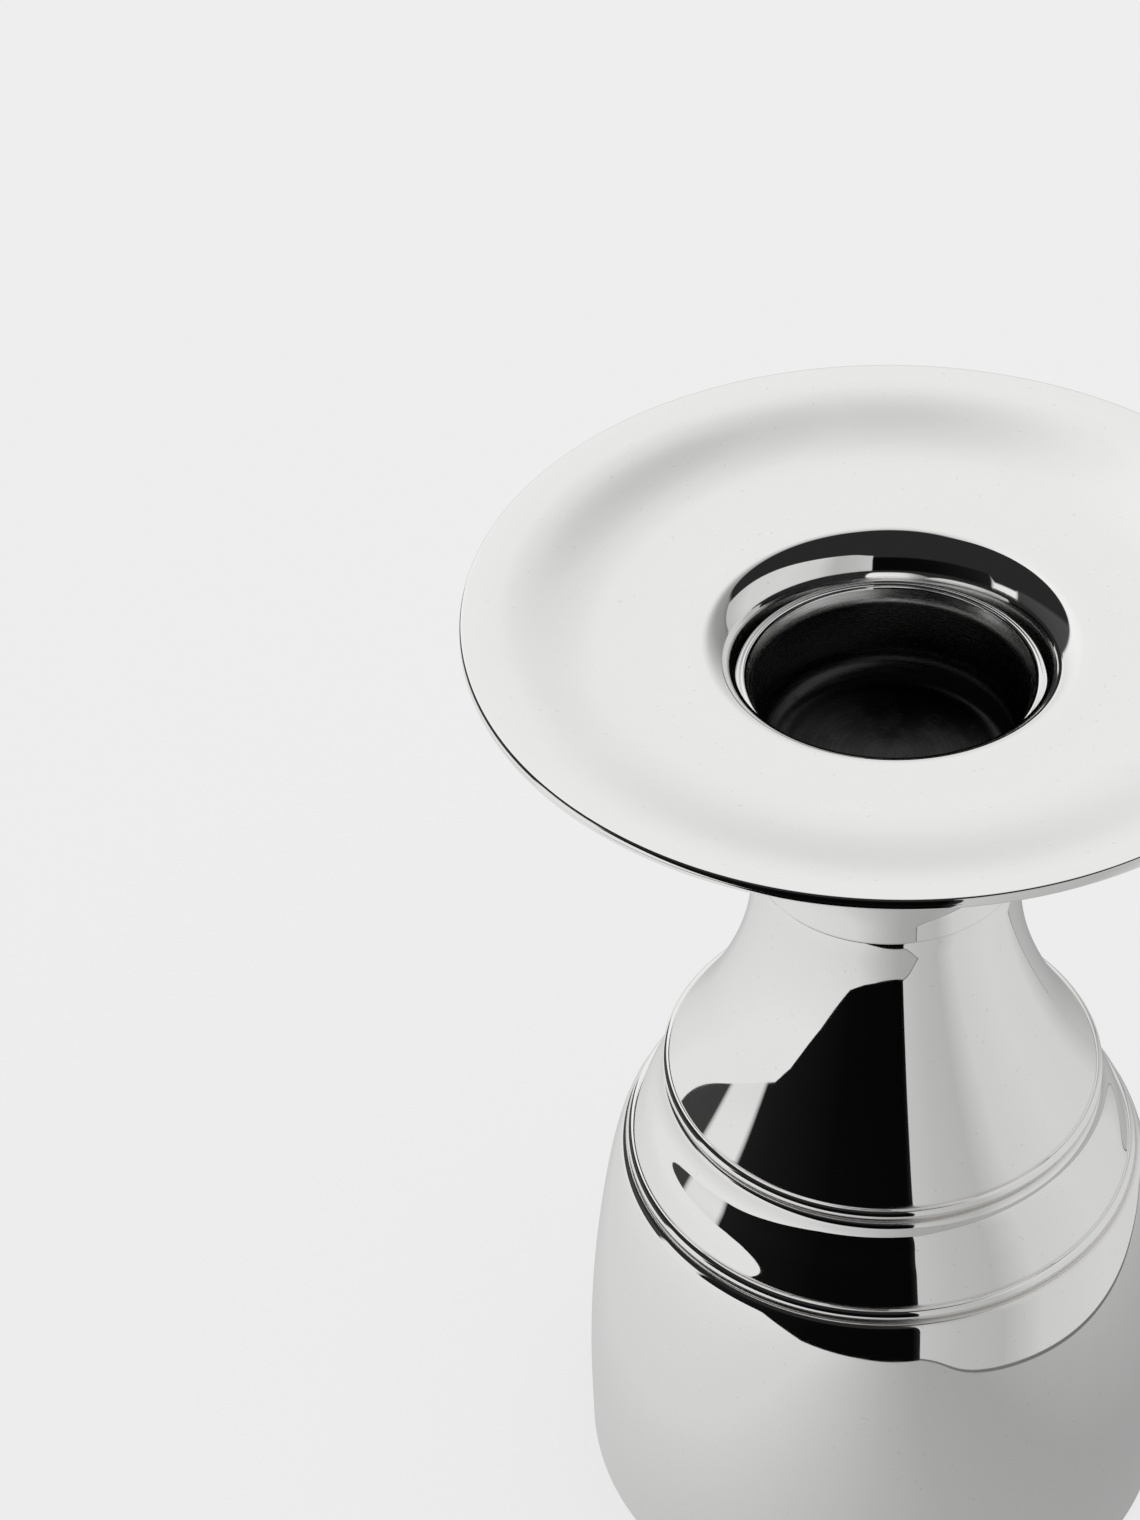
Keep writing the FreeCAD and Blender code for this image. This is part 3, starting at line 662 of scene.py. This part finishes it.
turn_in = curve([WELL_EDGE, (14.55 * MM, WELL_EDGE[1] - 0.33 * MM),
                 (13.4 * MM, WELL_EDGE[1] - 1.28 * MM), (12.55 * MM, WELL_EDGE[1] - 3.0 * MM),
                 (12.18 * MM, WELL_EDGE[1] - 4.3 * MM),
                 (WELL_RADIUS, WELL_EDGE[1] - WELL_TURN)],
                leaves=WELL_SLOPE, arrives=(-0.12, -1.0), steps=14)


def corner_round(radius, foot, size, steps=14):
    """The rounded inside corner between an upright wall and a floor."""
    return [(radius - size + size * math.cos(turn), foot + size - size * math.sin(turn))
            for turn in (math.pi / 2 * step / steps for step in range(steps + 1))]


def backed(line, sheet):
    """The back of a sheet whose face follows the line."""
    back = []
    for i, point in enumerate(line):
        before, after = line[max(i - 1, 0)], line[min(i + 1, len(line) - 1)]
        run = Vector((after[0] - before[0], after[1] - before[1])).normalized()
        back.append((point[0] + run.y * -sheet, point[1] + run.x * sheet))
    return back


pan_face = [*dish, *turn_in[1:], *corner_round(WELL_RADIUS, WELL_FLOOR, WELL_CORNER),
            (WELL_HOLE, WELL_FLOOR)]
PAN_SILVER = silver("pan_silver", seams=(WELL_FLOOR,), gloss=0.03)
turned("spun_pan", [*pan_face, *reversed(backed(pan_face, SHEET)),
                    (PAN_RADIUS, PAN_RIM - SHEET), (PAN_RADIUS, PAN_RIM - RIM_BREAK)],
       "drip_pan", [PAN_SILVER], around=320)

# ------------------------------------------------------------------------ pan's rim wire
# A flat wire soldered under the pan's edge. It stiffens the thin sheet, and its joint shows
# as a fine line round the rim.
WIRE_LOW, WIRE_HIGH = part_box("pan_rim_wire")
WIRE_INSIDE = WIRE_HIGH[0] - 1.0 * MM
turned("rim_wire_ring", rounded([
    (WIRE_INSIDE, WIRE_LOW[2], 0.12 * MM),
    (WIRE_HIGH[0], WIRE_LOW[2], 0.18 * MM),
    (WIRE_HIGH[0], WIRE_HIGH[2], 0.06 * MM),
    (WIRE_INSIDE, WIRE_HIGH[2], 0.05 * MM),
]), "pan_rim_wire", [BEAD_SILVER], around=320)

# ---------------------------------------------------------------------------- cup's seat
# A flanged silver bush soldered into the hole in the well's floor. The ring under the cup
# drops into it.
SEAT_LOW, SEAT_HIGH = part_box("cup_seat")
SEAT_RADIUS = 8.3 * MM
SEAT_FLANGE_TOP = SEAT_LOW[2] + 0.9 * MM
turned("flanged_seat", rounded([
    (SEAT_RADIUS, SEAT_LOW[2], 0.1 * MM),
    (SEAT_HIGH[0], SEAT_LOW[2], 0.15 * MM),
    (SEAT_HIGH[0], SEAT_FLANGE_TOP, 0.05 * MM),
    (WELL_HOLE, SEAT_FLANGE_TOP, 0),
    (WELL_HOLE, SEAT_HIGH[2], 0.05 * MM),
    (SEAT_RADIUS, SEAT_HIGH[2], 0.1 * MM),
]), "cup_seat", [SOLDERED_SILVER], around=128)

# --------------------------------------------------------------------------- candle cup
# The loose cup that takes the candle, spun from silver. Its flared lip and its outside are
# polished. Its inside is left as the tool cut it, with fine rings and wax scuffs, and painted
# shade darkens it towards the floor.
CUP_LOW, CUP_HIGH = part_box("candle_cup")
LIP_RADIUS = CUP_HIGH[0]
CUP_LIP = CUP_HIGH[2]
CUP_WALL = 0.45 * MM
BORE_RADIUS = 11.3 * MM
CUP_RADIUS = BORE_RADIUS + CUP_WALL
FLARE_TALL = 1.7 * MM
CUP_CORNER = 2.6 * MM
CUP_FLOOR = CUP_LOW[2] + 0.5 * MM


def turned_and_shaded_inside(name):
    """The cut inside of the cup: rings from the tool, and painted shade that darkens it towards
    the foot.
    """
    finish = Finish(name)
    spot, x, y, z, out = finish.place()
    section = finish.node("ShaderNodeCombineXYZ", {}, {"X": out, "Y": z})
    cuts = finish.speckle(section, 0.12 * MM, [(0.25, 0.0), (0.75, 1.0)], detail=4.0)
    arcs = finish.speckle(spot, 2.0 * MM, [(0.4, 0.0), (0.7, 1.0)], stretch=(1, 1, 14))
    scuffs = finish.speckle(spot, 1.1 * MM, [(0.6, 0.0), (0.68, 1.0)], detail=5.0)
    # Painted shade: the base colour darkens from the lip down to the floor, standing in for the
    # shade inside the cup.
    painted_shade_depth = (CUP_LIP - z) / (CUP_LIP - CUP_FLOOR)
    grey = finish.mix(painted_shade_depth * 1.2 + scuffs * 0.12, (0.66, 0.66, 0.65, 1),
                      (0.035, 0.035, 0.035, 1))
    finish.shader(
        Base_Color=finish.mix(cuts * 0.05 + arcs * 0.03, grey, (0.6, 0.6, 0.59, 1)),
        Metallic=1.0,
        Roughness=0.24 + arcs * 0.08 + scuffs * 0.1,
        Anisotropic=0.6,
        Normal=finish.bump(cuts * 1.6e-6 + arcs * 2e-6))
    return finish.material


def inner_faces(piece, floor, height):
    """Give the second finish to the faces between two heights that look in or up."""
    looks_in = 0.3
    for face in piece.data.polygons:
        middle, normal = face.center, face.normal
        outward = middle.x * normal.x + middle.y * normal.y
        if floor < middle.z < height and outward < looks_in * math.hypot(middle.x, middle.y):
            face.material_index = 1


lip_round = [(LIP_RADIUS - CUP_WALL / 2 + CUP_WALL / 2 * math.cos(turn),
              CUP_LIP - CUP_WALL / 2 + CUP_WALL / 2 * math.sin(turn))
             for turn in (math.pi * step / 14 for step in range(15))]
cup_inside = [*curve([lip_round[-1], (BORE_RADIUS, CUP_LIP - FLARE_TALL)],
                     leaves=(-0.45, -0.9), arrives=(-0.1, -1.0), steps=8)[1:],
              *corner_round(BORE_RADIUS, CUP_FLOOR, CUP_CORNER), (0.0, CUP_FLOOR)]
cup_outside = [(0.0, CUP_LOW[2]),
               *reversed(corner_round(CUP_RADIUS, CUP_LOW[2], CUP_CORNER + CUP_WALL)),
               (CUP_RADIUS, CUP_LIP - FLARE_TALL)]
cup = turned("spun_cup", [*cup_outside, *lip_round, *cup_inside],
             "candle_cup", [silver("cup_silver"), turned_and_shaded_inside("turned_cup_inside_painted_shade")],
             body="candle_insert")
inner_faces(cup, CUP_FLOOR - 0.1 * MM, CUP_LIP - 0.35 * MM)

# --------------------------------------------------------------------- ring under the cup
# A short silver ring soldered under the cup, which centres it in its seat. Lifting the cup
# out for cleaning draws it clear of the pan.
SPIGOT_LOW, SPIGOT_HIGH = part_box("cup_spigot")
SPIGOT_INSIDE = SPIGOT_HIGH[0] - 0.55 * MM
turned("cup_ring", rounded([
    (SPIGOT_INSIDE, SPIGOT_LOW[2], 0.1 * MM),
    (SPIGOT_HIGH[0], SPIGOT_LOW[2], 0.2 * MM),
    (SPIGOT_HIGH[0], SPIGOT_HIGH[2]),
    (SPIGOT_INSIDE, SPIGOT_HIGH[2]),
]), "cup_spigot", [SOLDERED_SILVER], body="candle_insert", around=128)

# -------------------------------------------------------------------------------- floor
# A plain pale floor, evenly lit, which takes only a faint shadow from the foot. Polished
# silver doesn't show it: the sheets below stand in for what the silver sees.
PALE = 0.855
SHADED_SHARE = 0.16
FLOOR_SIZE = 6.0


def glow(finish, grey, shade=0.0):
    """Make a stage finish give off a grey, over a dull base that light can shade."""
    finish.shader(Base_Color=(shade, shade, shade, 1), Roughness=1.0, Specular_IOR_Level=0.0,
                  Emission_Color=grey, Emission_Strength=1.0)
    return finish.material


def bearing_of(finish, x, y):
    """The angle round the stick from straight in front, growing to the right."""
    return finish.node("ShaderNodeMath", {"operation": "ARCTAN2"}, {0: x, 1: y * -1.0})


def stage_sheet(name, corners, faces, finish, seen_by):
    """A sheet of the stage that only camera and bounced light, or only gloss, can see."""
    mesh = bpy.data.meshes.new(name)
    mesh.from_pydata(corners, [], faces)
    mesh.materials.append(finish)
    sheet = bpy.data.objects.new(name, mesh)
    bpy.context.scene.collection.objects.link(sheet)
    for ray in ("camera", "diffuse", "glossy", "transmission", "volume_scatter", "shadow"):
        setattr(sheet, f"visible_{ray}", ray in seen_by)
    return sheet


EVENLY_LIT = PALE * (1 - SHADED_SHARE)
stage_sheet(
    "floor",
    [(x * FLOOR_SIZE, y * FLOOR_SIZE, 0.0) for x, y in ((-1, -1), (1, -1), (1, 1), (-1, 1))],
    [(0, 1, 2, 3)],
    glow(Finish("pale_floor"), (EVENLY_LIT, EVENLY_LIT, EVENLY_LIT, 1), SHADED_SHARE),
    ("camera", "diffuse", "shadow"))

# ------------------------------------------------------------------- table that silver sees
# A light tabletop that ends a hand's breadth in front of the stick. It is brighter on the
# left, where the light comes from. Its outline is in millimetres.
TABLE_EDGE = [(15, -103), (-24, -106), (-63, -104), (-110, -122), (-168, -145),
              (-300, -186), (-465, -231), (-690, -240), (-640, 110), (-640, 1100),
              (1100, 1100), (1100, -103)]
TABLE_REACH = 200 * MM
TABLE_UNDER_FLOOR = 0.1 * MM


def table_light():
    """Grey of the tabletop from left to right."""
    finish = Finish("table_light")
    spot, x, y, z, out = finish.place()
    grey = finish.node("ShaderNodeValToRGB", {"stops": [
        (0.0, 0.80), (0.28, 0.74), (0.39, 0.68), (0.435, 0.58), (0.49, 0.46), (0.525, 0.40),
        (0.585, 0.37), (0.65, 0.44), (0.75, 0.52), (1.0, 0.62)]},
        {0: x / (2 * TABLE_REACH) + 0.5})
    return glow(finish, grey)


stage_sheet("table_sheet", [(x * MM, y * MM, -TABLE_UNDER_FLOOR) for x, y in TABLE_EDGE],
            [tuple(range(len(TABLE_EDGE)))], table_light(), ("glossy",))

# ---------------------------------------------------------------------- card on the right
# A light grey card, curved round the right of the stick and standing on the table. Its near
# edge is upright, and a thin dark line shows where it meets the table.
CARD_FOOT = [(15, -103), (21, -97), (30, -80), (38, -69.5), (46, -60), (56, -44),
             (63, -24), (67, 0), (72, 30), (84, 71)]
CARD_TALL = 172 * MM
CARD_BEARING = math.radians(130)
CARD_JOINT = 1.1 * MM
JOINT_GREY = (0.16, 0.16, 0.16, 1)


def card_light():
    """Grey of the card round its curve, with the dark joint at its foot."""
    finish = Finish("card_light")
    spot, x, y, z, out = finish.place()
    grey = finish.node("ShaderNodeValToRGB", {"stops": [
        (0.0, 0.60), (0.045, 0.57), (0.16, 0.50), (0.27, 0.47), (0.38, 0.63), (0.6, 0.68),
        (0.85, 0.66), (1.0, 0.50)]}, {0: bearing_of(finish, x, y) / CARD_BEARING})
    joint = finish.node("ShaderNodeMath", {"operation": "LESS_THAN"}, {0: z, 1: CARD_JOINT})
    return glow(finish, finish.mix(joint, grey, JOINT_GREY))


foot_line = curve(CARD_FOOT, steps=6)
stage_sheet(
    "curved_card",
    [(x * MM, y * MM, height) for height in (0.0, CARD_TALL) for x, y in foot_line],
    [(i, i + 1, i + 1 + len(foot_line), i + len(foot_line))
     for i in range(len(foot_line) - 1)],
    card_light(), ("glossy",))

# ------------------------------------------------------------------------ room all round
# What the silver sees beyond the table: a black drape in front, a white strip and a dark
# screen on the left, a broad soft light behind, and a dark ceiling.
ROOM_RADIUS = 1.5
CEILING = 0.022
CEILING_SOFTNESS = 3.5 / 90
# Grey at each bearing in degrees, where 0 is in front of the stick and 90 is on its right.
BEARINGS = [(-180, 0.87), (-165, 0.91), (-151, 0.94), (-149, 0.07), (-97, 0.055), (-95, 0.93),
            (-76.5, 0.91), (-75, 0.013), (-60, 0.008), (-30, 0.003), (8, 0.002), (10, 0.03),
            (118, 0.05), (128, 0.28), (138, 0.34), (145, 0.48), (155, 0.74), (165, 0.85),
            (180, 0.87)]
# Height in degrees at which the ceiling starts at each bearing.
CEILING_EDGE = [(-180, 73), (-152, 73), (-149, 34), (-97, 26), (-95, 22), (-76.5, 20),
                (-75, 33), (10, 33), (118, 33), (130, 45), (145, 69), (155, 73), (180, 73)]
# Share of the light at each height in degrees.
HEIGHTS = [(0, 0.80), (12, 0.86), (22, 0.95), (32, 1.0), (52, 1.0), (58, 0.975), (63, 0.91),
           (68, 0.80), (71, 0.70), (90, 0.6)]


def room_light():
    """Grey of the room by bearing and height."""
    finish = Finish("room_light")
    spot, x, y, z, out = finish.place()
    share = bearing_of(finish, x, y) / (2 * math.pi) + 0.5
    height = finish.node("ShaderNodeMath", {"operation": "ARCTAN2"}, {0: z, 1: out})
    upward = height / (math.pi / 2)
    grey = finish.node("ShaderNodeValToRGB", {"stops": [
        ((way + 180) / 360, value) for way, value in BEARINGS]}, {0: share})
    edge = finish.node("ShaderNodeValToRGB", {"stops": [
        ((way + 180) / 360, value / 90) for way, value in CEILING_EDGE]}, {0: share})
    fall = finish.node("ShaderNodeValToRGB", {"stops": [
        (way / 90, value) for way, value in HEIGHTS]}, {0: upward})
    under = finish.node("ShaderNodeMath", {"operation": "MULTIPLY", "use_clamp": True},
                        {0: edge - upward + CEILING_SOFTNESS / 2, 1: 1 / CEILING_SOFTNESS})
    return glow(finish, grey * fall * under + (1 - under) * CEILING)


room = bmesh.new()
bmesh.ops.create_icosphere(room, subdivisions=4, radius=ROOM_RADIUS)
room_mesh = bpy.data.meshes.new("room")
room.to_mesh(room_mesh)
room.free()
stage_sheet("room_shell", [tuple(vertex.co) for vertex in room_mesh.vertices],
            [tuple(face.vertices) for face in room_mesh.polygons], room_light(), ("glossy",))

sky = bpy.data.worlds.new("pale_room")
sky.use_nodes = True
sky.node_tree.nodes["Background"].inputs["Color"].default_value = (PALE, PALE, PALE, 1)
bpy.context.scene.world = sky
bpy.context.scene.view_settings.view_transform = "Standard"

# ------------------------------------------------------------------------------- camera
# A short telephoto from above and in front, with the stick low on the right of the frame.
camera = bpy.data.objects.new("camera", bpy.data.cameras.new("camera"))
bpy.context.scene.collection.objects.link(camera)
camera.location = (-0.02657, -0.23213, 0.27981)
camera.rotation_euler = [math.radians(turn) for turn in (49.849, 2.172, -1.832)]
camera.data.lens = 86.46
camera.data.sensor_width = 36
camera.data.clip_start = 0.01
bpy.context.scene.camera = camera
